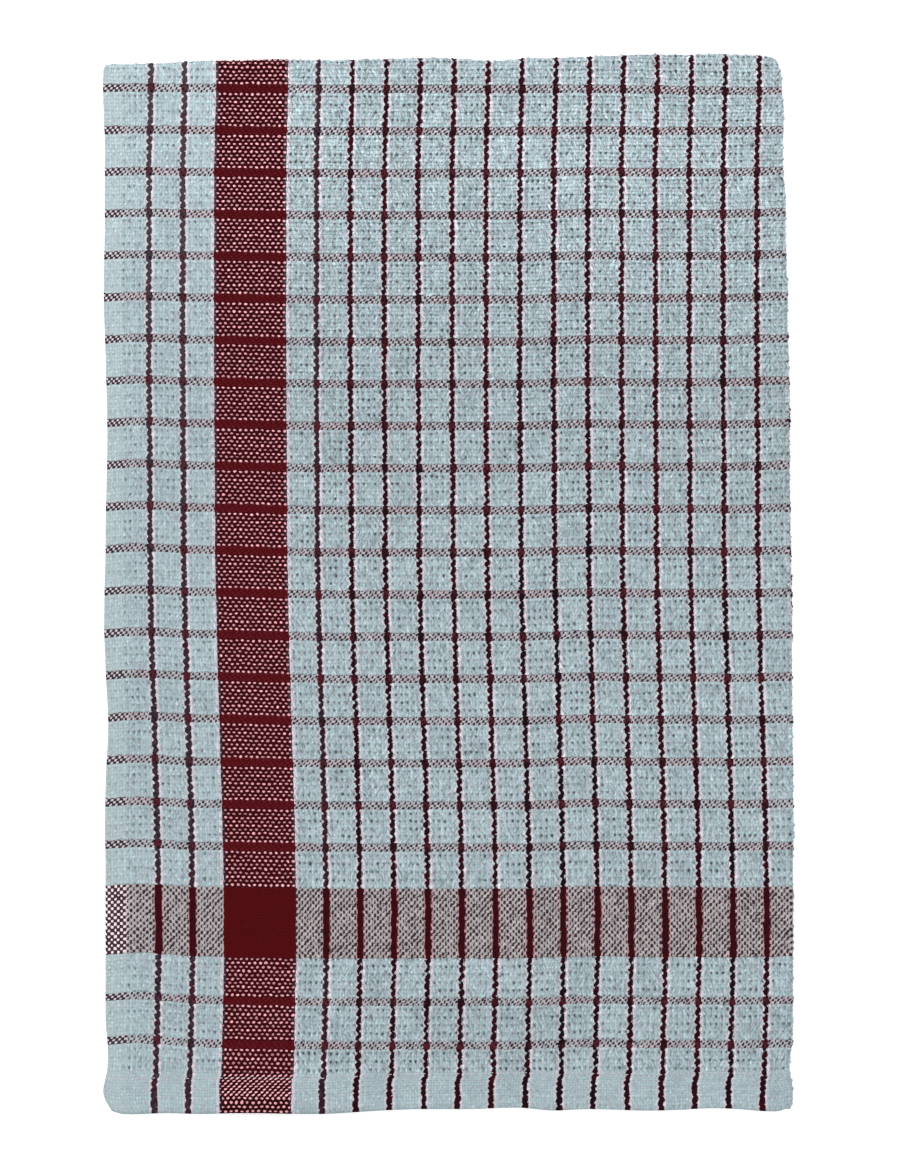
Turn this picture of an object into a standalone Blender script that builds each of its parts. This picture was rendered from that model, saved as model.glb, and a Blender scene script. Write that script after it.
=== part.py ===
"""A tea towel folded in quarters and laid flat, as one woven cloth with a turned hem at each end.

X runs across the folded towel, from the free selvedges to the long fold. Y runs along it, from the
hems to the short fold. Z is up from the surface that it lies on. Sizes are in millimetres.
"""

import math
from collections import namedtuple

import bmesh
import bpy
from mathutils import Vector

MM = 0.001

# The folded towel as it is seen from above
FOLDED_WIDTH = 228.65
FOLDED_LENGTH = 353.7

# The cloth
SHEET = 1.0  # thickness of the woven sheet
HEM_SHEET = 1.4  # thickness of the double-turned hem
HEM_DEPTH = 12.6
SEAM_RUN = 1.6  # over which the hem thins to the sheet
EDGE_ROUND = 0.22  # on the selvedges and hem edges
EDGE_ROUND_STEPS = 2

# The stack of four layers
LAYER_GAP = 0.4
FOLD_FULLNESS = 0.4  # more room for each layer beside a fold
FULLNESS_RUN = 22.0  # over which that room closes again
STACK_EARLY = 7.0  # the layers rise to the hems this far before the seam
STACK_RISE = 8.0  # and over this length
TOP_LAYER = 3  # layers below the top one
FOOT_DEPTH = 0.02  # what lies this near to the surface lies on it

# The corner where both folds meet is drawn in
CORNER_REACH = 4.0
CORNER_PULL = 0.9
# and so are the hem's outer corners
HEM_CORNER_REACH = 3.2
HEM_CORNER_PULL = 0.7

# How far the edges of each lower layer lie inside the top layer's
Lie = namedtuple("Lie", "across along left fold hem_left hem_fold")
LAYER_LIES = (
    Lie(across=0, along=0, left=0.0, fold=0.0, hem_left=0.0, hem_fold=0.0),
    Lie(across=1, along=0, left=1.4, fold=0.0, hem_left=1.6, hem_fold=0.0),
    Lie(across=0, along=1, left=1.9, fold=1.3, hem_left=2.4, hem_fold=1.8),
    Lie(across=1, along=1, left=2.7, fold=1.3, hem_left=3.1, hem_fold=1.8),
)

# Where an edge moves over to a new line, from one place to another along it
Drift = namedtuple("Drift", "edge start end out")
EDGE_DRIFTS = (
    Drift(edge="fold", start=172.0, end=-12.0, out=3.1),
    Drift(edge="fold", start=162.0, end=169.0, out=-0.7),
    Drift(edge="top", start=-97.0, end=-76.0, out=1.6),
    Drift(edge="top", start=24.0, end=62.0, out=1.4),
    Drift(edge="hem", start=-46.0, end=-8.0, out=-1.4),
)

# Soft swells and hollows of the edges, each a wave of one hump
Swell = namedtuple("Swell", "edge at spread out")
EDGE_SWELLS = (
    Swell(edge="left", at=172.0, spread=24.0, out=0.8),
    Swell(edge="left", at=136.0, spread=38.0, out=0.3),
    Swell(edge="left", at=102.0, spread=26.0, out=0.6),
    Swell(edge="left", at=52.0, spread=34.0, out=-0.6),
    Swell(edge="left", at=2.0, spread=12.0, out=0.3),
    Swell(edge="left", at=-12.0, spread=16.0, out=0.5),
    Swell(edge="left", at=-46.0, spread=22.0, out=-0.9),
    Swell(edge="left", at=-80.0, spread=14.0, out=0.2),
    Swell(edge="left", at=-158.0, spread=13.0, out=-0.9),
    Swell(edge="left", at=-171.0, spread=8.0, out=0.8),
    Swell(edge="fold", at=146.0, spread=20.0, out=-0.5),
    Swell(edge="fold", at=132.0, spread=7.0, out=0.5),
    Swell(edge="fold", at=102.0, spread=8.0, out=0.4),
    Swell(edge="fold", at=62.0, spread=20.0, out=0.3),
    Swell(edge="fold", at=24.0, spread=68.0, out=-0.6),
    Swell(edge="fold", at=-34.0, spread=32.0, out=-0.3),
    Swell(edge="fold", at=-82.0, spread=10.0, out=0.3),
    Swell(edge="fold", at=-162.0, spread=11.0, out=-1.2),
    Swell(edge="top", at=-94.0, spread=14.0, out=0.3),
    Swell(edge="top", at=-72.0, spread=17.0, out=-0.4),
    Swell(edge="top", at=-38.0, spread=14.0, out=-0.3),
    Swell(edge="top", at=-5.0, spread=20.0, out=0.5),
    Swell(edge="top", at=20.0, spread=9.0, out=-0.4),
    Swell(edge="top", at=31.0, spread=7.0, out=0.4),
    Swell(edge="top", at=52.0, spread=16.0, out=-0.2),
    Swell(edge="top", at=76.0, spread=22.0, out=0.3),
    Swell(edge="top", at=96.0, spread=10.0, out=0.4),
    Swell(edge="hem", at=-108.0, spread=12.0, out=0.4),
    Swell(edge="hem", at=-84.0, spread=12.0, out=0.3),
    Swell(edge="hem", at=-46.0, spread=22.0, out=0.3),
    Swell(edge="hem", at=22.0, spread=16.0, out=-0.5),
    Swell(edge="hem", at=35.0, spread=12.0, out=0.5),
    Swell(edge="hem", at=68.0, spread=20.0, out=0.5),
    Swell(edge="hem", at=90.0, spread=12.0, out=-0.3),
    Swell(edge="hem", at=110.0, spread=14.0, out=0.7),
)

# Low rises of the stack, where the cloth has been pressed unevenly
Rise = namedtuple("Rise", "x y reach_x reach_y height")
STACK_RISES = (
    Rise(x=-70.0, y=110.0, reach_x=60.0, reach_y=80.0, height=0.45),
    Rise(x=40.0, y=60.0, reach_x=70.0, reach_y=60.0, height=0.6),
    Rise(x=-30.0, y=-40.0, reach_x=80.0, reach_y=50.0, height=0.5),
    Rise(x=70.0, y=-90.0, reach_x=60.0, reach_y=55.0, height=0.55),
    Rise(x=-90.0, y=-115.0, reach_x=40.0, reach_y=50.0, height=0.35),
)

# The sections of the flat cloth up to the middle of a fold, and how finely each is divided
Section = namedtuple("Section", "name length cells")
ACROSS = (
    Section(name="selvedge", length=7.0, cells=1),
    Section(name="field", length=205.6, cells=12),
    Section(name="beside the fold", length=16.0, cells=3),
)
ALONG = (
    Section(name="hem", length=HEM_DEPTH, cells=3),
    Section(name="seam", length=SEAM_RUN, cells=2),
    Section(name="before the hem", length=14.0, cells=3),
    Section(name="field", length=309.5, cells=17),
    Section(name="beside the fold", length=16.0, cells=3),
)
FOLD_CELLS = 8

CLOTH_COLOUR = (0.33, 0.44, 0.46, 1.0)
CLOTH_ROUGHNESS = 0.92

# A station of the flat cloth: how far it is from the free edge to the fold, and how far round it
Station = namedtuple("Station", "run turn")


def ease(t):
    """0 to 1, starting and ending softly."""
    t = min(max(t, 0.0), 1.0)
    return t * t * (3.0 - 2.0 * t)


def hump(t):
    """1 in the middle, falling softly to 0 at 1 either side."""
    return 0.5 + 0.5 * math.cos(math.pi * min(abs(t), 1.0))


def stations(sections):
    """From one free edge over the fold to the other."""
    total = sum(section.length for section in sections)
    runs = [0.0]
    for section in sections:
        step = section.length / section.cells / total
        runs += [runs[-1] + step * (i + 1) for i in range(section.cells)]
    upper = [Station(run, 0.0) for run in runs[:-1]]
    lower = [Station(run, math.pi) for run in reversed(runs[:-1])]
    fold = [Station(1.0, math.pi * i / FOLD_CELLS) for i in range(FOLD_CELLS + 1)]
    return upper + fold + lower


def edge_shift(edge, at):
    """How far outward an edge lies of its straight line."""
    drifts = sum(
        row.out * ease((at - row.start) / (row.end - row.start))
        for row in EDGE_DRIFTS
        if row.edge == edge
    )
    swells = sum(
        row.out * hump((at - row.at) / row.spread)
        for row in EDGE_SWELLS
        if row.edge == edge
    )
    return drifts + swells


def pull(distance, reach, most):
    """How far an edge is drawn in this near to a corner."""
    return most * max(1.0 - distance / reach, 0.0) ** 2


def lie_of(name, across, along):
    """An inset that passes smoothly from layer to layer round both folds."""
    total = 0.0
    for row in LAYER_LIES:
        share_across = across if row.across else 1.0 - across
        share_along = along if row.along else 1.0 - along
        total += getattr(row, name) * share_across * share_along
    return total


def own_thickness(length_from_hem):
    """Thickness of the cloth this far from its hem edge."""
    return HEM_SHEET + (SHEET - HEM_SHEET) * ease((length_from_hem - HEM_DEPTH) / SEAM_RUN)


def layer_pitch(x, y):
    """Height from one layer to the next, at a place in plan."""
    from_hem = y + FOLDED_LENGTH / 2
    hem_share = 1.0 - ease((from_hem - HEM_DEPTH - STACK_EARLY) / STACK_RISE)
    to_long_fold = FOLDED_WIDTH / 2 - x
    to_short_fold = FOLDED_LENGTH / 2 - y
    beside = max(1.0 - ease(to_long_fold / FULLNESS_RUN), 1.0 - ease(to_short_fold / FULLNESS_RUN))
    rise = sum(
        row.height * hump((x - row.x) / row.reach_x) * hump((y - row.y) / row.reach_y)
        for row in STACK_RISES
    )
    sheet = SHEET + (HEM_SHEET - SHEET) * hem_share
    return sheet + LAYER_GAP + FOLD_FULLNESS * beside + rise / TOP_LAYER


def place(across, along):
    """Where the middle of the sheet lies, for a station across and one along the cloth."""
    over_long = 0.5 - 0.5 * math.cos(across.turn)
    over_short = 0.5 - 0.5 * math.cos(along.turn)
    x_flat = FOLDED_WIDTH * (across.run - 0.5)
    y_flat = FOLDED_LENGTH * (along.run - 0.5)
    pitch = layer_pitch(x_flat, y_flat)
    thick = own_thickness(FOLDED_LENGTH * along.run)

    right = FOLDED_WIDTH / 2
    top = FOLDED_LENGTH / 2
    corner_x = pull(top - y_flat, CORNER_REACH, CORNER_PULL)
    corner_y = pull(right - x_flat, CORNER_REACH, CORNER_PULL)
    hem_corner_x = pull(y_flat + top, HEM_CORNER_REACH, HEM_CORNER_PULL)
    hem_corner_y = pull(x_flat + right, HEM_CORNER_REACH, HEM_CORNER_PULL)
    hem_corner_y += pull(right - x_flat, HEM_CORNER_REACH, HEM_CORNER_PULL)

    left_edge = -right - edge_shift("left", y_flat) + hem_corner_x
    left_edge += lie_of("left", over_long, over_short)
    fold_edge = right + edge_shift("fold", y_flat) - corner_x - hem_corner_x
    fold_edge -= lie_of("fold", over_long, over_short)
    hem_lie = lie_of("hem_left", over_long, over_short) * (1.0 - across.run)
    hem_lie += lie_of("hem_fold", over_long, over_short) * across.run
    hem_edge = -top - edge_shift("hem", x_flat) + hem_corner_y + hem_lie
    top_edge = top + edge_shift("top", x_flat) - corner_y

    long_radius = pitch / 2
    short_radius = pitch
    side = long_radius * math.cos(across.turn)
    x_fold = fold_edge - thick / 2 - long_radius
    y_fold = top_edge - thick / 2 - short_radius - long_radius
    x = left_edge + (x_fold - left_edge) * across.run + long_radius * math.sin(across.turn)
    reach = short_radius + side
    y = hem_edge + (y_fold - hem_edge) * along.run + reach * math.sin(along.turn)
    z = thick / 2 + pitch * TOP_LAYER / 2 + reach * math.cos(along.turn)
    return Vector((x, y, z)) * MM


def make_material(name, colour, roughness):
    material = bpy.data.materials.new(name)
    material.use_nodes = True
    shader = material.node_tree.nodes["Principled BSDF"]
    shader.inputs["Base Color"].default_value = colour
    shader.inputs["Roughness"].default_value = roughness
    shader.inputs["Metallic"].default_value = 0.0
    material.diffuse_color = colour
    return material


def add_solidify(cloth):
    """Gives the sheet its thickness, more in the hems than between them."""
    solidify = cloth.modifiers.new("thickness", "SOLIDIFY")
    solidify.thickness = HEM_SHEET * MM
    solidify.offset = 0.0
    solidify.use_rim = True
    solidify.use_even_offset = False
    solidify.vertex_group = "thickness"
    solidify.thickness_vertex_group = 0.0


def add_edge_round(cloth):
    bevel = cloth.modifiers.new("edge round", "BEVEL")
    bevel.width = EDGE_ROUND * MM
    bevel.segments = EDGE_ROUND_STEPS
    bevel.limit_method = "ANGLE"
    bevel.angle_limit = math.radians(60.0)
    bevel.use_clamp_overlap = True


def make_cloth(name, material, collection):
    """The whole cloth: one sheet, folded over the long fold and then over the short one."""
    across = stations(ACROSS)
    along = stations(ALONG)
    bm = bmesh.new()
    bmesh.ops.create_grid(bm, x_segments=len(across) - 1, y_segments=len(along) - 1, size=1.0)
    mesh = bpy.data.meshes.new(name)
    cloth = bpy.data.objects.new(name, mesh)
    collection.objects.link(cloth)
    weights = {}
    for vert in bm.verts:
        column = round((vert.co.x + 1.0) / 2.0 * (len(across) - 1))
        row = round((vert.co.y + 1.0) / 2.0 * (len(along) - 1))
        weights[vert.index] = own_thickness(FOLDED_LENGTH * along[row].run) / HEM_SHEET
        vert.co = place(across[column], along[row])
    bm.to_mesh(mesh)
    bm.free()
    group = cloth.vertex_groups.new(name="thickness")
    for index, weight in weights.items():
        group.add([index], weight, "REPLACE")
    mesh.materials.append(material)
    add_solidify(cloth)
    add_edge_round(cloth)
    return cloth


def settle(cloth):
    """Makes one plain mesh of the cloth, centred, with its underside flat on the surface."""
    depsgraph = bpy.context.evaluated_depsgraph_get()
    made = bpy.data.meshes.new_from_object(cloth.evaluated_get(depsgraph), depsgraph=depsgraph)
    cloth.modifiers.clear()
    cloth.vertex_groups.clear()
    cloth.data = made
    xs = [vert.co.x for vert in made.vertices]
    ys = [vert.co.y for vert in made.vertices]
    middle = Vector(((min(xs) + max(xs)) / 2, (min(ys) + max(ys)) / 2, 0.0))
    low = min(vert.co.z for vert in made.vertices)
    for vert in made.vertices:
        vert.co -= middle
        vert.co.z -= low
        if vert.co.z < FOOT_DEPTH * MM:
            vert.co.z = 0.0
    for face in made.polygons:
        face.use_smooth = True


def build():
    for thing in list(bpy.data.objects):
        bpy.data.objects.remove(thing, do_unlink=True)
    collection = bpy.data.collections.new("folded_tea_towel")
    bpy.context.scene.collection.children.link(collection)
    material = make_material("checked_cotton", CLOTH_COLOUR, CLOTH_ROUGHNESS)
    cloth = make_cloth("towel_cloth", material, collection)
    bpy.context.view_layer.update()
    settle(cloth)


build()
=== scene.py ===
"""A checked cotton tea towel, folded in quarters and laid flat: its looks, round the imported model.

X runs from the free selvedges to the long fold, Y from the hems to the short fold, Z up.
The cloth's own sizes are in millimetres.
"""

import math
from collections import namedtuple

import bpy
import numpy as np
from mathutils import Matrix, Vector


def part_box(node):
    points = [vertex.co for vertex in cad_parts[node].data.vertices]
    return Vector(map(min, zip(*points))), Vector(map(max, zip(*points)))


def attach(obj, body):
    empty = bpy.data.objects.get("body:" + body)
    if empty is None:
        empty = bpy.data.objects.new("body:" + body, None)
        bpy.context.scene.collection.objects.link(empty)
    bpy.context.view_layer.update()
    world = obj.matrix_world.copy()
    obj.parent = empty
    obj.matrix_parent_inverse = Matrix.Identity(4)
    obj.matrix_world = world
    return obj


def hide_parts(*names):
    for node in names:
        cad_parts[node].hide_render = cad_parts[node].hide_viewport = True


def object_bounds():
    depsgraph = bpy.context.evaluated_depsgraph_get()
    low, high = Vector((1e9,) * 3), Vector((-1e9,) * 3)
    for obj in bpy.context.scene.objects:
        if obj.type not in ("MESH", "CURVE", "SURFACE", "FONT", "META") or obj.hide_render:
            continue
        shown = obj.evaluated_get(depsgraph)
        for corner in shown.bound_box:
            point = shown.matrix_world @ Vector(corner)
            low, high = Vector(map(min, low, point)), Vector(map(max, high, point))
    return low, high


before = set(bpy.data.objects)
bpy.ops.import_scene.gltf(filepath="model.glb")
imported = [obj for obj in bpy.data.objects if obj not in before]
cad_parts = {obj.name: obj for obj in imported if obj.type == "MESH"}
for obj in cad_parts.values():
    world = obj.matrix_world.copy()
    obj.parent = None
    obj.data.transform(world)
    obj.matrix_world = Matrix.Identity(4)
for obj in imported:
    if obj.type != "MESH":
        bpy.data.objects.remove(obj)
cad_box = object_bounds()


# ------------------------------------------------------------------------------------------------
# The cloth: plain-woven cotton, pale blue-green with a dark maroon check, 46 by 71 cm when flat.
# Each short end is turned twice and sewn down. The cloth is folded lengthwise, with the selvedges
# together, then crosswise, with the hems together, and smoothed flat by hand.

MM = 0.001


def table(columns, *lines):
    """Rows whose values go by the names of their columns."""
    row = namedtuple("Row", columns)
    return [row(*line) for line in lines]


FOLDED_WIDTH = 228.65
FOLDED_LENGTH = 353.7
SHEET = 1.0  # thickness of the woven sheet
HEM_SHEET = 1.4  # thickness of the turned hem
HEM_DEPTH = 12.6
FLAP_EDGE = 0.9  # over which the hem thins to the sheet, at the turned flap's edge
EDGE_ROUND = 0.34  # how far the rounded edges stand out, at the selvedges and hems

LAYER_GAP = 0.4
FOLD_FULLNESS = 0.4  # more room for each layer beside a fold
FULLNESS_RUN = 22.0
STACK_EARLY = 7.0  # the layers rise to the hems this far before the flap's edge
STACK_RISE = 8.0
LAYERS_BELOW_TOP = 3
FOOT_DEPTH = 0.02  # what lies this near to the surface lies on it

CORNER_REACH = 4.0
CORNER_PULL = 0.9
HEM_CORNER_REACH = 3.2
HEM_CORNER_PULL = 0.7
SELVEDGE_CORNER_REACH = 7.0
SELVEDGE_CORNER_PULL = 2.2

# How far the edges of each lower layer lie inside the top layer's
LAYER_LIES = table(
    "across along left fold hem_left hem_fold",
    (0, 0, 0.0, 0.0, 0.0, 0.0),
    (1, 0, 1.4, 0.0, 1.6, 0.0),
    (0, 1, 1.9, 1.3, 2.4, 1.8),
    (1, 1, 2.7, 1.3, 3.1, 1.8),
)

# Where an edge moves over to a new line, from one place to another along it
EDGE_DRIFTS = table(
    "edge start end out",
    ("fold", 172.0, -12.0, 3.1),
    ("fold", 162.0, 169.0, -0.7),
    ("top", -97.0, -76.0, 1.6),
    ("top", 24.0, 62.0, 1.4),
    ("hem", -46.0, -8.0, -1.4),
)

# Soft swells and hollows of the edges, each a wave of one hump
EDGE_SWELLS = table(
    "edge at spread out",
    ("left", 172.0, 24.0, 0.8),
    ("left", 136.0, 38.0, 0.3),
    ("left", 102.0, 26.0, 0.6),
    ("left", 52.0, 34.0, -0.6),
    ("left", 2.0, 12.0, 0.3),
    ("left", -12.0, 16.0, 0.5),
    ("left", -46.0, 22.0, -0.9),
    ("left", -80.0, 14.0, 0.2),
    ("left", -158.0, 13.0, -0.9),
    ("left", -171.0, 8.0, 0.8),
    ("fold", 146.0, 20.0, -0.5),
    ("fold", 132.0, 7.0, 0.5),
    ("fold", 102.0, 8.0, 0.4),
    ("fold", 62.0, 20.0, 0.3),
    ("fold", 24.0, 68.0, -0.6),
    ("fold", -34.0, 32.0, -0.3),
    ("fold", -82.0, 10.0, 0.3),
    ("fold", -162.0, 11.0, -1.2),
    ("top", -94.0, 14.0, 0.3),
    ("top", -72.0, 17.0, -0.4),
    ("top", -38.0, 14.0, -0.3),
    ("top", -5.0, 20.0, 0.5),
    ("top", 20.0, 9.0, -0.4),
    ("top", 31.0, 7.0, 0.4),
    ("top", 52.0, 16.0, -0.2),
    ("top", 76.0, 22.0, 0.3),
    ("top", 96.0, 10.0, 0.4),
    ("hem", -108.0, 12.0, 0.4),
    ("hem", -84.0, 12.0, 0.3),
    ("hem", -46.0, 22.0, 0.3),
    ("hem", 22.0, 16.0, -0.5),
    ("hem", 35.0, 12.0, 0.5),
    ("hem", 68.0, 20.0, 0.5),
    ("hem", 90.0, 12.0, -0.3),
    ("hem", 110.0, 14.0, 0.7),
)

# Low rises of the whole stack, where the cloth has been pressed unevenly
STACK_RISES = table(
    "x y reach_x reach_y height",
    (-70.0, 110.0, 60.0, 80.0, 0.45),
    (40.0, 60.0, 70.0, 60.0, 0.6),
    (-30.0, -40.0, 80.0, 50.0, 0.5),
    (70.0, -90.0, 60.0, 55.0, 0.55),
    (-90.0, -115.0, 40.0, 50.0, 0.35),
)

# Soft creases that smoothing by hand has left in the top layer: ridges, and troughs below zero
CREASES = table(
    "x y heading half_length half_width height",
    (24.0, -100.0, 91.0, 95.0, 9.0, 0.34),
    (33.5, -92.0, 90.0, 80.0, 7.0, -0.2),
    (20.0, 112.0, 88.0, 60.0, 8.0, 0.2),
    (60.0, 140.0, 70.0, 34.0, 12.0, 0.24),
    (0.0, 92.0, 1.0, 130.0, 12.0, 0.26),
    (-50.0, -8.0, 12.0, 60.0, 10.0, 0.18),
    (62.0, 22.0, -30.0, 46.0, 10.0, 0.2),
    (92.0, -30.0, 84.0, 80.0, 9.0, 0.22),
    (-92.0, 40.0, 93.0, 110.0, 10.0, 0.2),
    (-20.0, -158.0, 2.0, 80.0, 6.0, -0.16),
    (80.0, -150.0, -8.0, 40.0, 7.0, 0.2),
)

# The sections of the cloth up to the middle of a fold. Seen layers are divided more finely.
ACROSS = table(
    "name length seen_cells hidden_cells",
    ("selvedge", 7.0, 5, 2),
    ("field", 205.65, 96, 24),
    ("beside the fold", 16.0, 10, 4),
)
ALONG = table(
    "name length seen_cells hidden_cells",
    ("hem", 10.8, 7, 3),
    ("stitched line", 2.0, 4, 4),
    ("flap's edge", 1.5, 5, 3),
    ("before the hem", 14.0, 6, 3),
    ("field", 309.4, 146, 36),
    ("beside the fold", 16.0, 10, 4),
)
FOLD_CELLS = 12
RIM_STEPS = 4

STITCH_LINE = 11.8  # from the hem's edge
STITCH_SINK = 0.16  # the thread draws the hem in by this much
STITCH_SINK_WIDTH = 1.0
PUCKER = 0.1  # height of the small ripples between the stitches
PUCKER_REACH = 6.0  # from the stitches


def ease(t):
    """0 to 1, starting and ending softly."""
    t = np.clip(t, 0.0, 1.0)
    return t * t * (3.0 - 2.0 * t)


def hump(t):
    """1 in the middle, falling softly to 0 at 1 either side."""
    return 0.5 + 0.5 * np.cos(np.pi * np.minimum(np.abs(t), 1.0))


def stations(sections):
    """Run from the free edge to the fold, 0 to 1, and turn round it, over the fold and back."""
    total = sum(section.length for section in sections)

    def runs(finely):
        run, found = 0.0, [0.0]
        for section in sections:
            cells = section.seen_cells if finely else section.hidden_cells
            found += [run + section.length / total * (i + 1) / cells for i in range(cells)]
            run += section.length / total
        return found[:-1]

    upper, lower = runs(True), runs(False)[::-1]
    turns = [math.pi * i / FOLD_CELLS for i in range(FOLD_CELLS + 1)]
    run = upper + [1.0] * len(turns) + lower
    turn = [0.0] * len(upper) + turns + [math.pi] * len(lower)
    return np.array(run), np.array(turn)


def edge_shift(edge, at):
    """How far outward an edge lies of its straight line."""
    drifts = sum(
        row.out * ease((at - row.start) / (row.end - row.start))
        for row in EDGE_DRIFTS
        if row.edge == edge
    )
    swells = sum(
        row.out * hump((at - row.at) / row.spread) for row in EDGE_SWELLS if row.edge == edge
    )
    return drifts + swells


def pull(distance, reach, most):
    """How far an edge is drawn in this near to a corner."""
    return most * np.maximum(1.0 - distance / reach, 0.0) ** 2


def lie_of(name, across, along):
    """An inset that passes smoothly from layer to layer round both folds."""
    total = 0.0
    for row in LAYER_LIES:
        share_across = across if row.across else 1.0 - across
        share_along = along if row.along else 1.0 - along
        total = total + getattr(row, name) * share_across * share_along
    return total


def own_thickness(from_hem):
    """Thickness of the cloth this far from its hem edge, drawn in along the stitches."""
    thick = HEM_SHEET + (SHEET - HEM_SHEET) * ease((from_hem - HEM_DEPTH) / FLAP_EDGE)
    return thick - 2.0 * STITCH_SINK * hump((from_hem - STITCH_LINE) / STITCH_SINK_WIDTH)


def layer_pitch(x, y):
    """Height from one layer to the next, at a place in plan."""
    from_hem = y + FOLDED_LENGTH / 2
    hem_share = 1.0 - ease((from_hem - HEM_DEPTH - STACK_EARLY) / STACK_RISE)
    beside_long = 1.0 - ease((FOLDED_WIDTH / 2 - x) / FULLNESS_RUN)
    beside_short = 1.0 - ease((FOLDED_LENGTH / 2 - y) / FULLNESS_RUN)
    beside = np.maximum(beside_long, beside_short)
    rise = sum(
        row.height * hump((x - row.x) / row.reach_x) * hump((y - row.y) / row.reach_y)
        for row in STACK_RISES
    )
    sheet = SHEET + (HEM_SHEET - SHEET) * hem_share
    return sheet + LAYER_GAP + FOLD_FULLNESS * beside + rise / LAYERS_BELOW_TOP


def crease_height(x, y):
    """What the soft creases add to the top layer."""
    total = 0.0
    for row in CREASES:
        along = math.cos(math.radians(row.heading)), math.sin(math.radians(row.heading))
        run = (x - row.x) * along[0] + (y - row.y) * along[1]
        off = (y - row.y) * along[0] - (x - row.x) * along[1]
        total = total + row.height * hump(run / row.half_length) * hump(off / row.half_width)
    return total


def pucker(x, from_hem):
    """Small uneven ripples along the stitched hem."""
    wave = np.sin(x / 1.31) + 0.7 * np.sin(x / 2.03 + 1.0) + 0.5 * np.sin(x / 0.87 + 2.0)
    return PUCKER * wave / 2.2 * hump((from_hem - STITCH_LINE) / PUCKER_REACH)


Laid = namedtuple(
    "Laid", "middle outer inner out step_x step_y plan_x plan_y left hem arc_x arc_y run_x run_y"
)


def unit(vectors):
    return vectors / np.maximum(np.linalg.norm(vectors, axis=-1, keepdims=True), 1e-9)


def lay_cloth():
    """The sheet's middle and two faces, and where each station lies in plan and round the folds."""
    run_x, turn_x = (column[:, None] for column in stations(ACROSS))
    run_y, turn_y = (row[None, :] for row in stations(ALONG))
    over_long = 0.5 - 0.5 * np.cos(turn_x)
    over_short = 0.5 - 0.5 * np.cos(turn_y)
    x_flat = FOLDED_WIDTH * (run_x - 0.5)
    y_flat = FOLDED_LENGTH * (run_y - 0.5)
    pitch = layer_pitch(x_flat, y_flat)
    thick = own_thickness(FOLDED_LENGTH * run_y) + 0.0 * run_x

    right = FOLDED_WIDTH / 2
    top = FOLDED_LENGTH / 2
    corner_x = pull(top - y_flat, CORNER_REACH, CORNER_PULL)
    corner_y = pull(right - x_flat, CORNER_REACH, CORNER_PULL)
    hem_corner_x = pull(y_flat + top, HEM_CORNER_REACH, HEM_CORNER_PULL)
    free_corner_x = pull(y_flat + top, SELVEDGE_CORNER_REACH, SELVEDGE_CORNER_PULL)
    hem_corner_y = pull(x_flat + right, SELVEDGE_CORNER_REACH * 0.6, SELVEDGE_CORNER_PULL * 0.4)
    hem_corner_y = hem_corner_y + pull(right - x_flat, HEM_CORNER_REACH, HEM_CORNER_PULL)

    left_edge = -right - edge_shift("left", y_flat) + free_corner_x
    left_edge = left_edge + lie_of("left", over_long, over_short)
    fold_edge = right + edge_shift("fold", y_flat) - corner_x - hem_corner_x
    fold_edge = fold_edge - lie_of("fold", over_long, over_short)
    hem_lie = lie_of("hem_left", over_long, over_short) * (1.0 - run_x)
    hem_lie = hem_lie + lie_of("hem_fold", over_long, over_short) * run_x
    hem_edge = -top - edge_shift("hem", x_flat) + hem_corner_y + hem_lie
    top_edge = top + edge_shift("top", x_flat) - corner_y

    long_radius = pitch / 2
    short_radius = pitch
    sheet_here = HEM_SHEET + (SHEET - HEM_SHEET) * ease((y_flat + top - HEM_DEPTH) / FLAP_EDGE)
    x_fold = fold_edge - sheet_here / 2 - long_radius
    y_fold = top_edge - sheet_here / 2 - short_radius - long_radius
    x_start = left_edge + EDGE_ROUND
    y_start = hem_edge + EDGE_ROUND
    reach = short_radius + long_radius * np.cos(turn_x)
    plan_x = x_start + (x_fold - x_start) * run_x
    plan_y = y_start + (y_fold - y_start) * run_y
    x = plan_x + long_radius * np.sin(turn_x)
    y = plan_y + reach * np.sin(turn_y)
    z = sheet_here / 2 + pitch * LAYERS_BELOW_TOP / 2 + reach * np.cos(turn_y)
    top_share = (1.0 - over_long) * (1.0 - over_short)
    z = z + top_share * (crease_height(x, y) + pucker(x, FOLDED_LENGTH * run_y))
    arc_x = long_radius * np.minimum(turn_x, np.pi - turn_x)
    arc_y = reach * np.minimum(turn_y, np.pi - turn_y)

    middle = np.stack([x, y, z], axis=-1)
    step_x = unit(np.gradient(middle, axis=0))
    step_y = unit(np.gradient(middle, axis=1))
    out = unit(np.cross(step_x, step_y))
    outer = middle + out * thick[..., None] / 2
    inner = middle - out * thick[..., None] / 2

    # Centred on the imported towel, and set down on the surface
    high = outer.max(axis=(0, 1))
    low = np.array([left_edge.min(), hem_edge.min(), outer[..., 2].min()])
    cad_low, cad_high = (np.array(corner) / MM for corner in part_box("towel_cloth"))
    shift = (cad_low + cad_high - low - high) / 2
    shift[2] = -low[2]
    whole = np.zeros_like(x)
    return Laid(
        middle=middle + shift,
        outer=outer + shift,
        inner=inner + shift,
        out=out,
        step_x=step_x,
        step_y=step_y,
        plan_x=plan_x + whole + shift[0],
        plan_y=plan_y + whole + shift[1],
        left=left_edge + whole + shift[0],
        hem=hem_edge + whole + shift[1],
        arc_x=arc_x + whole,
        arc_y=arc_y + whole,
        run_x=run_x + whole,
        run_y=run_y + whole,
    )


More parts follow.
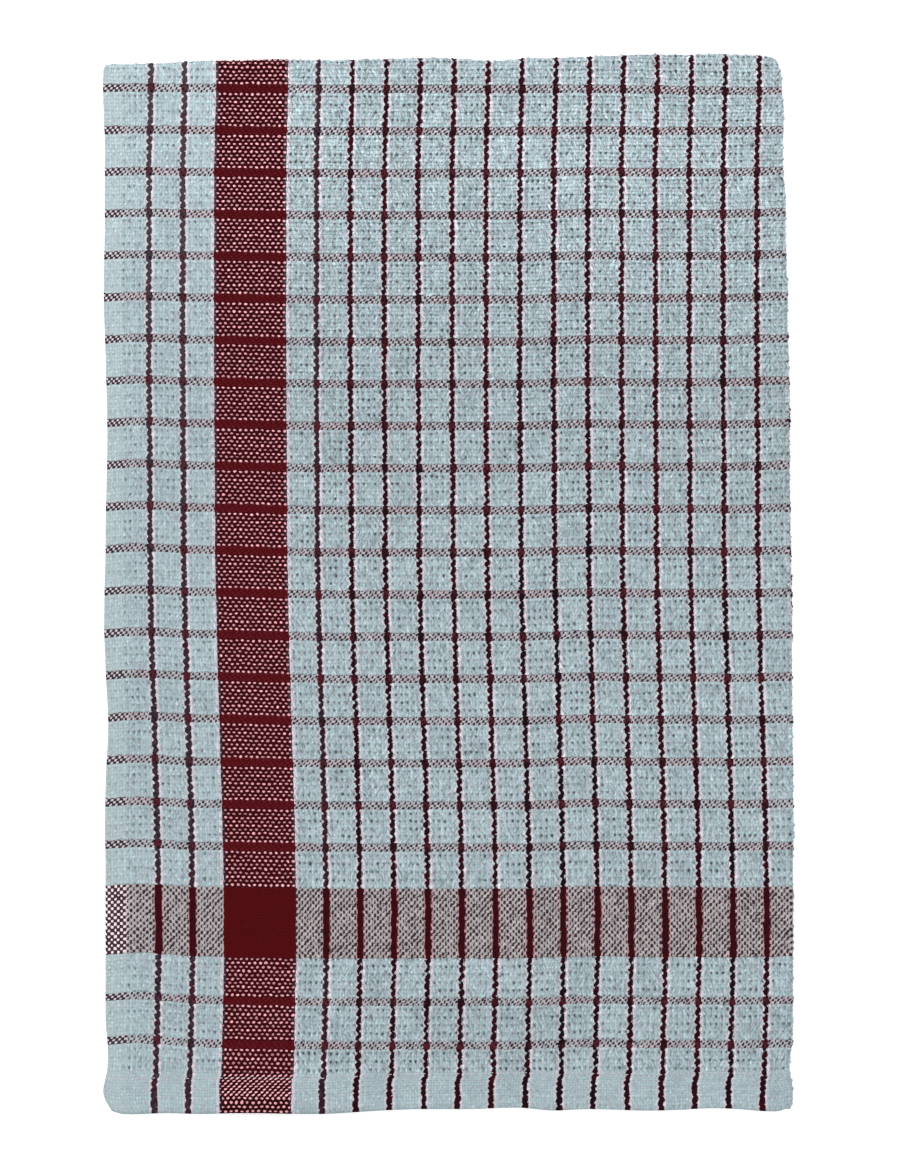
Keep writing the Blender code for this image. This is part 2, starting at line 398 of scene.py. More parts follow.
# How the yarns run on the top layer. The maroon lines in the warp stand at these places, level
# with the towel's middle, and are counted in ends (warp yarns) from the selvedge.
WARP_MARKS = table(
    "name x ends",
    ("first line", -100.7, 17.0),
    ("second line", -89.3, 29.0),
    ("broad stripe, near edge", -78.8, 40.0),
    ("broad stripe, far edge", -54.4, 66.0),
    ("third line", -44.2, 77.0),
    ("last line", 104.3, 233.0),
    ("past the fold", 127.1, 257.0),
)

# The warp leans over as it runs down the cloth, from one place to another
LEAN_AT_TOP = 0.53
WARP_LEANS = table(
    "start end shift",
    (171.0, 139.0, -0.7),
    (75.0, 25.0, 0.3),
    (25.0, -117.0, 3.0),
    (-123.0, -165.0, -0.75),
    (-164.9, -167.7, -0.75),
)

# The weft bows up or down of straight, more or less so from one place to another up the cloth
WEFT_BOWS = table(
    "x reach start end rise",
    (-85.0, 50.0, 240.0, 10.0, 0.95),
    (-106.0, 22.0, 240.0, 10.0, 1.15),
    (-85.0, 50.0, -48.0, -62.0, -0.4),
    (-106.0, 40.0, -100.0, -140.0, 0.7),
    (47.0, 26.0, 175.0, 125.0, 0.75),
    (85.0, 45.0, 165.0, 120.0, 0.55),
    (116.0, 24.0, 175.0, 115.0, 1.0),
    (116.0, 40.0, 60.0, 5.0, -0.4),
    (105.0, 62.0, 150.0, 172.0, -0.9),
)

# Where the cloth is a little paler or deeper: mostly painted light and shade, from the way it lies
# and is lit, and in part wear
PAINTED_SHADING_AND_WEAR = table(
    "name x y reach_x reach_y paler",
    # Painted light: the upper part of the cloth is lit more strongly
    ("towards the top", 0.0, 185.0, 400.0, 150.0, 0.15),
    ("upper half, right", 62.0, 138.0, 95.0, 66.0, 0.11),
    ("upper half, left", -62.0, 148.0, 80.0, 66.0, 0.09),
    ("along the selvedge", -114.0, 70.0, 18.0, 130.0, 0.06),
    # Painted light on the lit side of a soft crease's ridge, and painted shade beside it
    ("ridge", 21.0, -100.0, 7.0, 76.0, 0.06),
    ("beside the ridge", 32.0, -96.0, 8.0, 76.0, -0.05),
    ("beside the fold", 114.0, 20.0, 11.0, 84.0, -0.05),
    ("above the hem", 10.0, -150.0, 66.0, 20.0, -0.08),
    ("above the hem's end", 96.0, -150.0, 44.0, 20.0, -0.05),
    ("hem", 0.0, -173.0, 240.0, 11.0, 0.01),
    # Painted shade along the rounded edge of the hem
    ("hem's edge", 0.0, -179.0, 240.0, 3.5, -0.16),
)
HEM_LEVEL = -177.05  # y of the hem's edge, where the weft is counted from
FIRST_WEFT_LINE = 21.5  # above that level


def warp_count(laid):
    """Ends of warp between the selvedge and each station."""
    x, y = laid.plan_x, laid.plan_y
    lean = LEAN_AT_TOP + sum(
        row.shift * ease((y - row.start) / (row.end - row.start)) for row in WARP_LEANS
    )
    marks_x = [row.x for row in WARP_MARKS]
    marks_ends = [row.ends for row in WARP_MARKS]
    ends = np.interp(x - lean, marks_x, marks_ends)
    first = WARP_MARKS[0]
    near = first.ends * (x - laid.left) / (first.x + lean - laid.left)
    pitch = (marks_ends[-1] - marks_ends[-2]) / (marks_x[-1] - marks_x[-2])
    return np.where(x - lean < first.x, near, ends) + laid.arc_x * pitch


def weft_height(laid):
    """How far up the cloth the weft is at each station, in millimetres from the hem's edge."""
    x, y = laid.plan_x, laid.plan_y
    bow = sum(
        row.rise * hump((x - row.x) / row.reach) * ease((y - row.start) / (row.end - row.start))
        for row in WEFT_BOWS
    )
    line = HEM_LEVEL + FIRST_WEFT_LINE + bow
    near = FIRST_WEFT_LINE * (y - laid.hem) / (line - laid.hem)
    return np.where(y < line, near, FIRST_WEFT_LINE + y - line) + laid.arc_y


def painted_light_and_wear(x, y):
    """How much lighter the cloth is here than its dyes, from painted light and shade and from wear.
    """
    return sum(
        row.paler * hump((x - row.x) / row.reach_x) * hump((y - row.y) / row.reach_y)
        for row in PAINTED_SHADING_AND_WEAR
    )


# Where each part of the cloth goes on its second map: the top layer as
# seen, the underside smaller, and the six faces inside the stack smaller still.
MAP_PLATES = table(
    "side across along left bottom width height",
    ("outer", 0, 0, 0.0, 0.0, 0.645, 1.0),
    ("outer", 0, 1, 0.645, 0.0, 0.355, 0.55),
    ("outer", 1, 0, 0.645, 0.55, 0.118, 0.225),
    ("outer", 1, 1, 0.763, 0.55, 0.118, 0.225),
    ("inner", 0, 0, 0.881, 0.55, 0.118, 0.225),
    ("inner", 1, 0, 0.645, 0.775, 0.118, 0.225),
    ("inner", 1, 1, 0.763, 0.775, 0.118, 0.225),
    ("inner", 0, 1, 0.881, 0.775, 0.118, 0.225),
)
PLATE_MARGIN = 0.004


def new_piece(name, points, faces):
    """A smooth mesh from points in millimetres."""
    mesh = bpy.data.meshes.new(name)
    mesh.from_pydata((np.array(points) * MM).tolist(), [], faces)
    mesh.shade_smooth()
    piece = bpy.data.objects.new(name, mesh)
    bpy.context.scene.collection.objects.link(piece)
    return piece


def mark_cloth(piece, threads, places, corners):
    """Gives a piece the threads' own map, and how much paler the cloth is at each point, from painted
    light and shade and from wear.
    """
    mesh = piece.data
    own_map = mesh.uv_layers.new(name="flat_cloth")
    own_map.data.foreach_set("uv", threads[corners].reshape(-1))
    pale = mesh.attributes.new("painted_light_and_wear", "FLOAT", "POINT")
    pale.data.foreach_set("value", painted_light_and_wear(places[:, 0], places[:, 1]))
    return own_map


def make_cloth(name, laid):
    """One closed sheet: an outer and an inner face with a rounded rim round all four edges."""
    columns, rows = laid.middle.shape[:2]

    # Round the four free edges, from the outer face to the inner one
    border = [(i, 0) for i in range(columns - 1)]
    border += [(columns - 1, j) for j in range(rows - 1)]
    border += [(i, rows - 1) for i in range(columns - 1, 0, -1)]
    border += [(0, j) for j in range(rows - 1, 0, -1)]
    at_i = np.array([i for i, j in border])
    at_j = np.array([j for i, j in border])
    out_x = np.where(at_i == 0, -1.0, np.where(at_i == columns - 1, 1.0, 0.0))
    out_y = np.where(at_j == 0, -1.0, np.where(at_j == rows - 1, 1.0, 0.0))
    outward = out_x[:, None] * laid.step_x[at_i, at_j] + out_y[:, None] * laid.step_y[at_i, at_j]
    outward = unit(outward) * EDGE_ROUND
    across = (laid.outer - laid.inner)[at_i, at_j] / 2
    points = [laid.outer.reshape(-1, 3), laid.inner.reshape(-1, 3)]
    stand_off = [np.zeros(columns * rows * 2)]
    for step in range(1, RIM_STEPS):
        angle = math.pi * step / RIM_STEPS
        rim = laid.middle[at_i, at_j] + across * math.cos(angle) + outward * math.sin(angle)
        points.append(rim)
        stand_off.append(np.repeat(EDGE_ROUND * math.sin(angle), len(border)))
    points = np.concatenate(points)
    points[:, 2] = np.where(points[:, 2] < FOOT_DEPTH, 0.0, points[:, 2])
    stand_off = np.concatenate(stand_off)
    on_border = at_i * rows + at_j
    source = np.concatenate([np.arange(columns * rows)] * 2 + [on_border] * (RIM_STEPS - 1))

    # Faces of the two sides, then of the rim between them
    inside = columns * rows
    number = np.arange(inside).reshape(columns, rows)
    cells = (number[:-1, :-1], number[1:, :-1], number[1:, 1:], number[:-1, 1:])
    outer_faces = np.stack(cells, axis=-1).reshape(-1, 4)
    inner_faces = outer_faces[:, ::-1] + inside
    rings = [on_border]
    rings += [inside * 2 + len(border) * k + np.arange(len(border)) for k in range(RIM_STEPS - 1)]
    rings += [on_border + inside]
    rim_faces = []
    for ring, next_ring in zip(rings[:-1], rings[1:]):
        rim_faces.append(
            np.stack([ring, next_ring, np.roll(next_ring, -1), np.roll(ring, -1)], axis=1)
        )
    faces = np.concatenate([outer_faces, inner_faces] + rim_faces)
    cloth = new_piece(name, points, faces.tolist())
    ends = warp_count(laid).reshape(-1)[source] - stand_off
    height = weft_height(laid).reshape(-1)[source] - stand_off
    corners = faces.reshape(-1)
    threads = mark_cloth(cloth, np.stack([ends, height], axis=1), points, corners)

    # The second map: each face lies on the plate of its side and layer
    middle_i = int(np.argmax(stations(ACROSS)[1] >= math.pi / 2))
    middle_j = int(np.argmax(stations(ALONG)[1] >= math.pi / 2))
    column_of = (source // rows)[faces].mean(axis=1)
    row_of = (source % rows)[faces].mean(axis=1)
    rim_first = len(outer_faces) + len(inner_faces)
    rim_ring = (np.arange(len(faces)) - rim_first) // len(border)
    is_outer = np.arange(len(faces)) < len(outer_faces)
    is_outer |= (rim_ring >= 0) & (rim_ring < RIM_STEPS // 2)
    flat_x = (FOLDED_WIDTH * laid.run_x + laid.arc_x).reshape(-1)
    flat_y = (FOLDED_LENGTH * laid.run_y + laid.arc_y).reshape(-1)
    flat = np.stack([flat_x[source] - stand_off, flat_y[source] - stand_off], axis=1)
    most = flat.max(axis=0)
    spot = (flat[corners] + EDGE_ROUND) / (most + EDGE_ROUND)
    placed = np.zeros_like(spot)
    for plate in MAP_PLATES:
        here = is_outer == (plate.side == "outer")
        here &= (column_of > middle_i) == bool(plate.across)
        here &= (row_of > middle_j) == bool(plate.along)
        here = np.repeat(here, 4)
        low_corner = np.array([plate.left, plate.bottom]) + PLATE_MARGIN
        size = np.array([plate.width, plate.height]) - 2 * PLATE_MARGIN
        placed[here] = low_corner + spot[here] * size
    export_map = cloth.data.uv_layers.new(name="OFBake")
    export_map.data.foreach_set("uv", placed.reshape(-1))
    threads.active = True
    threads.active_render = True
    return cloth


laid_cloth = lay_cloth()
cloth = make_cloth("checked_cloth", laid_cloth)


class Thread:
    """A value, colour or vector in a material. Plain arithmetic on values adds the Math nodes."""

    def __init__(self, tree, socket):
        self.tree = tree
        self.socket = socket

    def node(self, kind, settings=(), links=(), out=0):
        """Adds a node: its settings first, then the values or links of its sockets."""
        made = self.tree.nodes.new("ShaderNode" + kind)
        for name, value in dict(settings).items():
            setattr(made, name, value)
        for name, value in dict(links).items():
            if isinstance(value, Thread):
                self.tree.links.new(value.socket, made.inputs[name])
            else:
                made.inputs[name].default_value = value
        return Thread(self.tree, made.outputs[out])

    def maths(self, operation, *values):
        return self.node("Math", {"operation": operation}, enumerate(values))

    def __add__(self, other):
        return self.maths("ADD", self, other)

    __radd__ = __add__

    def __mul__(self, other):
        return self.maths("MULTIPLY", self, other)

    __rmul__ = __mul__

    def __sub__(self, other):
        return self.maths("SUBTRACT", self, other)

    def __rsub__(self, other):
        return self.maths("SUBTRACT", other, self)

    def __truediv__(self, other):
        return self.maths("DIVIDE", self, other)

    def __pow__(self, power):
        return self.maths("POWER", self, power)

    def floor(self):
        return self.maths("FLOOR", self)

    def wrap(self, period):
        return self.maths("FLOORED_MODULO", self, period)

    def wave(self, period, at=0.0):
        """1 at that place and at every whole period from it, and -1 half way between."""
        return self.maths("COSINE", (self - at) * (2.0 * math.pi / period))

    def least(self, other):
        return self.maths("MINIMUM", self, other)

    def most(self, other):
        return self.maths("MAXIMUM", self, other)

    def rise(self, low, high):
        """0 below low, 1 above high, with a soft rise between them. Falls where high is lower."""
        settings = {"interpolation_type": "SMOOTHSTEP"}
        if high > low:
            return self.node("MapRange", settings, {0: self, 1: low, 2: high})
        return self.node("MapRange", settings, {0: self, 1: high, 2: low, 3: 1.0, 4: 0.0})

    def within(self, low, high, soft=0.01):
        return self.rise(low - soft, low + soft) * self.rise(high + soft, high - soft)

    def blend(self, factor, other):
        """This colour blended with the other one by that factor."""
        return self.node("Mix", {"data_type": "RGBA"}, {0: factor, 6: self, 7: other}, out=2)

    def dyed(self, first, second):
        """A colour between two dyes, by this value."""
        return self.node("Mix", {"data_type": "RGBA"}, {0: self, 6: first, 7: second}, out=2)

    def fade(self, factor, other):
        """This value blended with the other one by that factor."""
        return self.node("Mix", {"data_type": "FLOAT"}, {0: factor, 2: self, 3: other})

    def scaled(self, factor):
        """This colour made lighter or darker."""
        return self.node("VectorMath", {"operation": "SCALE"}, {0: self, 3: factor})

    def stretched(self, x_scale, y_scale):
        """This place, scaled differently along and across."""
        settings = {"operation": "MULTIPLY"}
        return self.node("VectorMath", settings, {0: self, 1: (x_scale, y_scale, 1.0)})

    def together(self, other, third=0.0):
        return self.node("CombineXYZ", (), {0: self, 1: other, 2: third})

    def noise(self, scale, detail=2.0, roughness=0.5):
        """Smooth noise over a plane, about 0.5."""
        settings = {"noise_dimensions": "2D"}
        return self.node("TexNoise", settings, {"Vector": self, 2: scale, 3: detail, 4: roughness})

    def waver(self, scale, detail):
        """The same noise, from -0.5 to 0.5."""
        return self.noise(scale, detail) - 0.5

    def speckle(self):
        """A random value, 0 to 1, for each whole place."""
        return self.node("TexWhiteNoise", {"noise_dimensions": "2D"}, {"Vector": self})

    def feed(self, shader, name):
        """Lets this vary one of the shader's own values."""
        self.tree.links.new(self.socket, shader.inputs[name])


def new_finish(name, values):
    """A material, its shader with these even values, and a maker of the nodes that feed it."""
    material = bpy.data.materials.new(name)
    material.use_nodes = True
    shader = material.node_tree.nodes["Principled BSDF"]
    for socket, value in values.items():
        shader.inputs[socket].default_value = value
    return material, shader, Thread(material.node_tree, None)


def dye(red, green, blue):
    """A colour as its three screen values, 0 to 255, turned into light."""
    parts = [value / 255.0 for value in (red, green, blue)]
    light = [p / 12.92 if p <= 0.04045 else ((p + 0.055) / 1.055) ** 2.4 for p in parts]
    return (*light, 1.0)


# The weave. Each section up the cloth has so many picks (weft yarns), dyed or not. Past the last
# of them a line of maroon picks and a band of light ones follow each other up to the fold.
END_PITCH = 0.952  # millimetres from one end of warp to the next
HEM_PICKS = table(
    "name start stop count dyed",
    ("hem's turned edge", 0.0, 5.3, 4, False),
    ("turned hem", 5.3, 12.2, 8, False),
    ("beside the flap", 12.2, 20.25, 6, False),
    ("first line", 20.25, 22.75, 3, True),
    ("first band", 22.75, 34.85, 9, False),
    ("second line", 34.85, 37.35, 3, True),
    ("second band", 37.35, 50.8, 10, False),
    ("broad stripe", 50.8, 74.4, 22, True),
    ("third band", 74.4, 86.75, 9, False),
)
LINE_DEPTH = 2.5
LINE_PICKS = 3
BAND_PICKS = 9
REPEAT_DEPTH = 14.21
LINE_SHIFT = 0.15  # picks by which each line lies higher
LINE_PITCH = LINE_DEPTH / LINE_PICKS
BAND_PITCH = (REPEAT_DEPTH - LINE_DEPTH) / BAND_PICKS

STRIPE_ENDS = (40.0, 66.0)
LINE_ENDS = 1.5  # a line's two ends of warp, drawn a little together
LINE_CENTRE = 17.0
LINE_REPEAT = 12.0
END_MIDDLE = 0.23  # of each end and pick, in its own count
PICK_MIDDLE = 0.6
BEAD_SLANT = 0.56  # picks by which the left side of a line's beads lies lower
SELVEDGE_ENDS = 6.5
FADING = (150.0, 330.0)  # from the hem's edge: the cloth fades between here and there
YARN_RELIEF = 0.2  # how high the yarns stand, for the shading alone
OVER_UNDER = 2.0  # ends, or picks, in one over and under of a plain weave

AQUA = dye(177, 195, 200)
AQUA_DEEP = dye(157, 175, 181)
LAVENDER = dye(175, 182, 193)
SELVEDGE_WHITE = dye(181, 197, 201)
PINKISH = dye(228, 214, 222)
LINE_PALE = dye(180, 176, 182)
STRIPE_PALE = dye(178, 170, 170)
SELVEDGE_PALE = dye(250, 230, 238)
PINK_DOT = dye(234, 170, 179)
MAROON_NEAR_BLACK = dye(24, 9, 20)
MAROON_DEEP = dye(60, 4, 10)
MAROON = dye(80, 7, 14)
MAROON_LINE = dye(60, 6, 14)
CROSSING_RED = dye(92, 34, 46)
BAR_RED = dye(96, 28, 36)
MAROON_WORN = dye(68, 56, 68)
LINE_FADED = dye(92, 84, 92)
TEAL = dye(163, 194, 198)
PINK_FRINGE = dye(206, 152, 162)
PICK_DARK = dye(54, 47, 53)
PICK_MAROON = dye(62, 44, 50)


def count_picks(up):
    """Picks (weft yarns) between the hem's edge and each place, from its height."""
    picks = 0.0
    for row in HEM_PICKS:
        span = {0: up, 1: row.start, 2: row.stop, 3: 0.0, 4: row.count}
        picks = picks + up.node("MapRange", (), span)
    above = (up - HEM_PICKS[-1].stop).most(0.0)
    repeats = (above / REPEAT_DEPTH).floor()
    own = above - repeats * REPEAT_DEPTH
    own_picks = own.least(LINE_DEPTH) / LINE_PITCH + (own - LINE_DEPTH).most(0.0) / BAND_PITCH
    return picks + repeats * float(LINE_PICKS + BAND_PICKS) + own_picks


def dyed_picks(pick):
    """A pick's place in its repeat, and whether it's in a thin line, dyed, or in the broad stripe."""
    first_pick = sum(row.count for row in HEM_PICKS)
    own_pick = (pick - first_pick - LINE_SHIFT).wrap(float(LINE_PICKS + BAND_PICKS))
    line_pick = own_pick.rise(LINE_PICKS + 0.2, LINE_PICKS + 0.1)
    dyed = line_pick * pick.rise(first_pick + 0.1, first_pick + 0.2)
    count = 0
    for row in HEM_PICKS:
        if row.dyed:
            band = pick.within(float(count), float(count + row.count), soft=0.05)
            dyed = dyed.most(band)
        count += row.count

    # The last of the bands is the broad stripe
    return own_pick, line_pick, dyed, dyed.least(band)


def weave_finish(name):
    """Dyed cotton in a plain weave, whose warp covers about two thirds of the surface."""
    cotton = {"Sheen Weight": 0.01, "Sheen Roughness": 0.5, "Specular IOR Level": 0.06}
    material, shader, maker = new_finish(name, cotton)
    flat = maker.node("UVMap", {"uv_map": "flat_cloth"})
    ends = maker.node("SeparateXYZ", (), {0: flat})
    up = maker.node("SeparateXYZ", (), {0: flat}, out=1)
    plane = (ends * END_PITCH).together(up)

    # The yarns wander a little from their straight lines
    end = ends + plane.waver(0.11, 2.0) * 0.5 + plane.waver(0.55, 1.0) * 0.5
    pick = count_picks(up) + plane.waver(0.31, 1.0) * 0.5 + plane.waver(0.6, 1.0) * 0.4
    end_number = (end - END_MIDDLE + 0.5).floor()
    pick_number = (pick - PICK_MIDDLE + 0.5).floor()
    chance = end_number.together(pick_number).speckle()
    other_chance = (end_number + 0.5).together(pick_number + 0.5).speckle()

    # Parts of the cloth: its hem, its selvedge and its stripe, what lies near them, and patches
    # that came out of the wash a little differently
    near_stripe, far_stripe = STRIPE_ENDS
    turned_edge = HEM_PICKS[1].start
    hem = up.rise(HEM_DEPTH + 0.1, HEM_DEPTH - 0.1)
    dense_hem = hem * up.rise(turned_edge - 0.4, turned_edge + 0.4)
    selvedge = ends.rise(SELVEDGE_ENDS + 1.5, SELVEDGE_ENDS - 1.0)
    not_selvedge = 1.0 - selvedge
    stripe = end.within(near_stripe, far_stripe, soft=0.05)
    stripe_inside = end.within(near_stripe + 1.0, far_stripe - 1.0, soft=0.15)
    first_end = stripe * end.rise(near_stripe + 1.1, near_stripe + 0.9)
    near_side = end.rise(far_stripe + 13.0, far_stripe + 9.0)
    calm = end.rise(near_stripe + 1.0, near_stripe - 1.0)
    faded = up.rise(*FADING)
    crisp = faded * (1.0 - calm * 0.8)
    patch = plane.noise(0.055, 3.0, 0.6)
    small_patch = plane.noise(0.16, 2.0, 0.6)
    tint = plane.noise(0.75, 1.0)
    own_pick, line_pick, dyed_pick, broad = dyed_picks(pick)
    light_band = 1.0 - dyed_pick

    # Light picks notch a line's two sides in turn, so that it runs in small slanting beads
    has_lines = end.rise(LINE_CENTRE - 3.0, LINE_CENTRE - 2.9)
    has_lines = has_lines * (1.0 - end.within(near_stripe - 2.0, far_stripe + 2.0))
    own_line = (end - (LINE_CENTRE - LINE_REPEAT / 2)).wrap(LINE_REPEAT) - LINE_REPEAT / 2
    on_left = own_line.rise(0.05, -0.45)
    side_pick = pick + on_left * BEAD_SLANT
    bead = side_pick.wave(OVER_UNDER, PICK_MIDDLE) - side_pick.wave(1.0, PICK_MIDDLE) * 0.35
    bead = bead * (on_left * 0.2 + chance * 0.3) + on_left * 0.06
    bead = bead * light_band * (1.0 - hem * 0.5)
    ragged = (other_chance - 0.5) * (0.5 - near_side * 0.2)
    half_width = LINE_ENDS / 2 + dyed_pick * 0.4 + near_side * 0.11 + hem * 0.22 + bead - ragged
    from_line = own_line.maths("ABSOLUTE", own_line)
    thin_line = (half_width - from_line).rise(-0.12, 0.12) * has_lines
    dyed_end = thin_line.most(stripe)

    # Dye has run a little into the light ends beside the lines and the stripe
    right_of_line = own_line.within(0.7, 1.8, soft=0.2)
    left_of_line = own_line.within(-1.8, -0.7, soft=0.2)
    beside_line = right_of_line.most(left_of_line * 0.8) * has_lines
    beside_stripe = end.within(near_stripe - 1.1, far_stripe + 1.1, soft=0.3)
    halo = (beside_line * (0.55 + chance * 0.45)).most(beside_stripe * 0.8)

    # Where a pick passes over an end: a small dot, lower in every second row of a light band.
    # Over the dyed picks the dots join in slanting flecks.
    drifted = end - dyed_pick * (1.0 - broad) * (own_pick * 0.3 + 0.4) - thin_line * 0.5
    end_wave = drifted.wave(OVER_UNDER, END_MIDDLE)
    pick_wave = pick.wave(OVER_UNDER, PICK_MIDDLE)
    full_pick = (pick_wave * 3.0).least(1.0).most(-1.0)
    over_line = side_pick.wave(OVER_UNDER, PICK_MIDDLE + 1.0) - 0.95
    over_line = over_line - hem * 0.3 + own_line.rise(0.1, 0.9) * 0.9
    over = end_wave * pick_wave.fade(line_pick, full_pick)
    over = over.fade(thin_line * light_band, over_line)
    end_round = end.wave(1.0, END_MIDDLE)
    pick_round = pick.wave(1.0, PICK_MIDDLE)
    slant = drifted.wave(OVER_UNDER, END_MIDDLE + 0.5) * pick.wave(OVER_UNDER, PICK_MIDDLE + 0.5)
    fleck_lie = small_patch.rise(0.35, 0.6) * (0.3 + broad * 0.4) - 0.1
    faint_row = pick_wave.rise(-0.3, 0.3) * light_band
    faint_row = faint_row * (1.0 - hem * (1.0 - thin_line))
    middle_pick = line_pick * dyed_pick * own_pick.within(1.0, 2.0, soft=0.2)
    depth = over + (pick_round - 1.0) * 0.85 * light_band * (1.0 - dense_hem * 0.42)
    depth = depth + (drifted.wave(1.0, END_MIDDLE) - 1.0) * 0.45 * dyed_pick * not_selvedge
    depth = depth + (chance - 0.5) * (0.3 + dyed_pick * 0.9 - selvedge * 0.8)
    depth = depth - faint_row * (0.12 + thin_line * 0.7) - thin_line * (0.45 + near_side * 0.2)
    depth = depth + slant * (fleck_lie * dyed_pick * not_selvedge + hem * 0.1 + dense_hem * 0.8)
    depth = depth + dyed_pick * (own_pick.rise(1.6, 0.8) * 0.2 + 0.1) - dense_hem * 0.3
    depth = depth - middle_pick * not_selvedge * 0.15 - first_end * 0.6
    dot = depth.rise(-0.4, 0.05)

    # Uneven spinning and twist, and the patches of wear and of painted light and shade
    streak = (end_number * 3.7).together(pick * 0.11).noise(1.0, 2.0, 0.7)
    fibre = (end * 2.6).together(pick * 0.8).noise(1.0, 3.0, 0.8)
    ply = (end * 0.6).together(pick * 2.4).noise(1.0, 2.0, 0.7)
    twist_one = (end * 1.3 + pick * 0.9).together(pick * 0.3 - end * 0.2).noise(1.0, 2.0, 0.7)
    twist_two = (end * 1.3 - pick * 0.9).together(pick * 0.3 + end * 0.2).noise(1.0, 2.0, 0.7)
    fleck = twist_one.fade(plane.noise(0.21, 1.0).rise(0.4, 0.6), twist_two)
    rough_weave = (1.0 - hem * 0.6 - selvedge * 0.45) * (1.1 + crisp * 0.3 - calm * 0.35)
    texture = (streak - 0.5) * 0.4 + (fibre - 0.5) * 1.1 + (fleck - 0.5) * 1.5
    # Painted light and shade, with wear, at each point of the cloth
    lit_and_worn = maker.node("Attribute", {"attribute_name": "painted_light_and_wear"}, (), out="Fac") + 0.96
    texture = lit_and_worn * (1.0 + texture * rough_weave)

    # The light yarns
    light = (patch.rise(0.42, 0.68) * 0.5).dyed(AQUA, AQUA_DEEP)
    light = light.blend(small_patch.rise(0.45, 0.75) * 0.5, LAVENDER)
    light = light.blend(tint.rise(0.52, 0.7) * 0.6, LAVENDER)
    light = light.blend(tint.rise(0.48, 0.3) * 0.6, TEAL)
    light = light.blend(selvedge * 0.75, SELVEDGE_WHITE)
    fringe = dyed_pick * (1.0 - broad) * patch.rise(0.45, 0.65) * 0.2
    light_end = light.blend(halo, PINKISH)
    light_end = light_end.blend(dyed_pick * 0.8, LINE_PALE).blend(broad * 0.8, STRIPE_PALE)
    light_end = light_end.blend(beside_line * broad * 0.7, PINK_FRINGE).blend(fringe, PINK_FRINGE)
    light_end = light_end.blend(selvedge * dyed_pick * (0.35 + broad * 0.65), SELVEDGE_PALE)
    light_end = light_end.scaled(texture)
    bright = 0.8 + other_chance * 0.4 + dense_hem * stripe * 0.3
    light_pick = light.blend(thin_line * 0.8, PINKISH).blend(stripe, PINK_DOT)
    light_pick = light_pick.scaled(texture * bright * (1.0 - faint_row * stripe * 0.3))

    # The maroon yarns. A line differs a little from the next one.
    line_chance = ((ends + 1.0) / LINE_REPEAT).floor().together(3.0).speckle()
    maroon_end = (line_chance * (0.28 - near_side * 0.15)).dyed(MAROON_NEAR_BLACK, MAROON)
    maroon_end = maroon_end.blend(near_side * (0.3 + tint.rise(0.4, 0.65) * 0.5), MAROON_WORN)
    maroon_end = maroon_end.blend(faded * near_side * 0.4, LINE_FADED)
    maroon_end = maroon_end.blend(faded * (1.0 - near_side) * 0.15, CROSSING_RED)
    maroon_end = maroon_end.blend(dyed_pick * small_patch.rise(0.35, 0.65) * 0.8, CROSSING_RED)
    maroon_end = maroon_end.blend(broad.most(small_patch.rise(0.55, 0.75) * 0.35), MAROON)
    maroon_end = maroon_end.blend(stripe_inside, MAROON_DEEP).blend(dyed_pick * stripe, MAROON)
    maroon_end = maroon_end.blend(thin_line * broad, MAROON_LINE)
    line_mottle = (fibre + ply - 1.0) * thin_line * (1.0 - broad) * 0.5
    mottle = (0.3 + fibre * 0.6 + ply * 0.8 + line_mottle).most(0.2)
    maroon_end = maroon_end.scaled(mottle * (1.0 - hem * stripe * 0.4))
    maroon_pick = broad.dyed(PICK_DARK, PICK_MAROON)
    maroon_pick = maroon_pick.blend(thin_line, MAROON_NEAR_BLACK).blend(stripe, MAROON)
    maroon_pick = maroon_pick.blend(stripe * (1.0 - broad) * (0.4 + ply * 0.6), BAR_RED)
    mottle = 1.0 + (fibre * 0.6 + ply * 0.4 - 0.5) * (1.0 - broad) * 0.7
    maroon_pick = maroon_pick.scaled(mottle)

    # Painted shadow: small dark gaps under every second pick, where its shadow falls, and painted
    # shade in thin lines between the yarns
    gap_chance = ((end - 0.4) / 2.0).floor().together((pick / 2.0).floor()).speckle()
    bold_row = plane.stretched(0.09, 0.5).noise(1.0, 1.0).rise(0.35, 0.65)
    gap_end = end.wave(OVER_UNDER, 1.4) * 0.5 + 0.5
    gap_pick = pick.wave(OVER_UNDER, 1.0) * 0.5 + 0.5
    shaded_gap = gap_end**2.0 * gap_pick**2.0
    shaded_gap = shaded_gap * (0.25 + gap_chance) * (0.6 + bold_row * 0.8)
    shaded_gap = shaded_gap * (1.0 - hem * 0.75 - calm * 0.25) * (1.0 - selvedge * 0.6)
    shaded_gap = shaded_gap * (1.0 - dyed_end) * light_band
    seam_shade = (0.5 - end_round * 0.5) ** 4.0 * 0.2
    seam_shade = seam_shade + (0.5 - pick_round * 0.5) ** 4.0 * (0.08 + crisp * 0.3)
    lit = 1.0 - (shaded_gap * 0.65 + seam_shade * (other_chance * 0.8 + 0.4)).least(0.85)
    end_colour = light_end.blend(dyed_end, maroon_end)
    pick_colour = light_pick.blend(dyed_pick, maroon_pick)
    colour = end_colour.blend(dot, pick_colour).scaled(lit)
    colour.feed(shader, "Base Color")
    rough = 0.86 + (fibre - 0.5) * 0.16
    rough.feed(shader, "Roughness")

